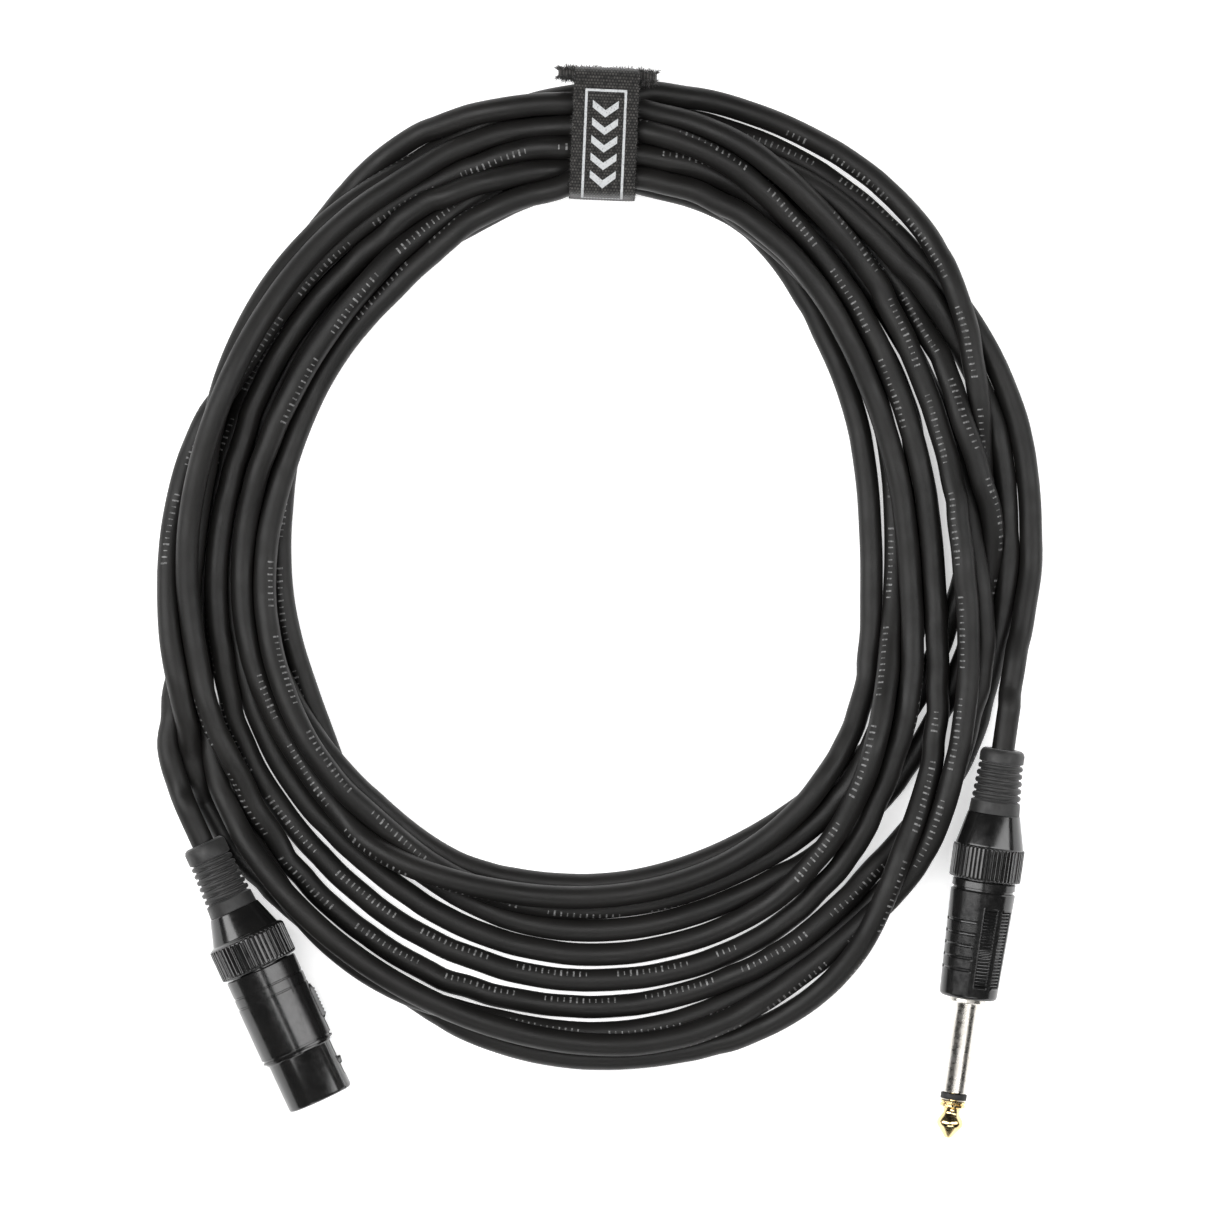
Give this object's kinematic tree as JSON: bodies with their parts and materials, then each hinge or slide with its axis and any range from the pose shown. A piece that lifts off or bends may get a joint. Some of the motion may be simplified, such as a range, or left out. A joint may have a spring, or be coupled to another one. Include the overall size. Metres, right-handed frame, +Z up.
{
  "type": "coiled microphone cable",
  "caption": "Coiled balanced microphone cable with an XLR socket, a 6.35 mm plug, screw-on boots, and a hook-and-loop tie round the turns.",
  "frame": {"origin": "middle of the object's box, on the surface that it lies on", "axes": "+Z up out of the coil, +Y along its long side towards the tie, +X towards the side of the 6.35 mm plug"},
  "size_m": [0.2132, 0.2573, 0.0194],
  "materials": {
    "cable_jacket": "matte PVC jacket",
    "black_shell": "smooth semi-gloss black",
    "black_nut": "gloss black",
    "boot_rubber": "satin rubber",
    "insert_plastic": "moulded",
    "clamp_plastic": "moulded",
    "nickel": "polished nickel plate",
    "gold": "polished gold plate",
    "spring_steel": "drawn wire",
    "core_red": "wire insulation",
    "core_white": "wire insulation",
    "copper": "bare copper",
    "tie_fabric": "woven hook-and-loop tape"
  },
  "bodies": {
    "cable": {"cable_coil": "cable_jacket", "cable_lead_xlr": "cable_jacket", "cable_lead_jack": "cable_jacket", "xlr_shell": "black_shell", "xlr_insert": "insert_plastic", "xlr_contact_1": "gold", "xlr_contact_2": "gold", "xlr_contact_3": "gold", "xlr_latch_spring": "spring_steel", "xlr_clamp": "clamp_plastic", "xlr_core_live": "core_red", "xlr_core_return": "core_white", "xlr_screen_tail": "copper", "jack_tip": "gold", "jack_insulator_ring": "insert_plastic", "jack_sleeve": "nickel", "jack_inner_bush": "insert_plastic", "jack_housing": "black_shell", "jack_clamp": "clamp_plastic", "jack_tip_tag": "nickel", "jack_sleeve_lug": "nickel", "jack_core_live": "core_red", "jack_screen_tail": "copper", "tie_band": "tie_fabric", "tie_head": "tie_fabric"},
    "xlr_latch": {"xlr_latch": "black_nut"},
    "xlr_boot": {"xlr_boot": "boot_rubber"},
    "xlr_nut": {"xlr_nut": "black_nut"},
    "jack_boot": {"jack_boot": "boot_rubber"},
    "jack_nut": {"jack_nut": "black_nut"},
    "tie_tail": {"tie_tail": "tie_fabric"}
  },
  "joints": [
    {"name": "xlr_latch_press", "type": "hinge", "parent": "cable", "child": "xlr_latch", "pos_m": [-0.07525, -0.08756, 0.0096], "axis": [-0.0073, 0.0159, -0.9998], "range_deg": [0, 4], "stiffness_Nm_per_rad": 0.3, "springref_deg": -4.01},
    {"name": "xlr_boot_slide", "type": "slide", "parent": "cable", "child": "xlr_boot", "axis": [-0.4178, 0.9084, 0.0175], "range_m": [0, 0.007]},
    {"name": "xlr_nut_turn", "type": "hinge", "parent": "xlr_boot", "child": "xlr_nut", "pos_m": [-0.08331, -0.08246, 0.00974], "axis": [-0.4178, 0.9084, 0.0175], "range_deg": [0, 2520]},
    {"name": "jack_boot_slide", "type": "slide", "parent": "cable", "child": "jack_boot", "axis": [0.139, 0.9888, 0.0541], "range_m": [0, 0.007]},
    {"name": "jack_nut_turn", "type": "hinge", "parent": "jack_boot", "child": "jack_nut", "pos_m": [0.09321, -0.06205, 0.00887], "axis": [0.139, 0.9888, 0.0541], "range_deg": [0, 2520]},
    {"name": "tie_peel", "type": "hinge", "parent": "cable", "child": "tie_tail", "pos_m": [0.00211, 0.12759, 0.01825], "axis": [-0.999, 0.0436, 0], "range_deg": [0, 130]}
  ],
  "couplings": [
    {"joint": "xlr_boot_slide", "follows": "xlr_nut_turn", "m_per_rad": 0.00015915},
    {"joint": "jack_boot_slide", "follows": "jack_nut_turn", "m_per_rad": 0.00015915}
  ]
}
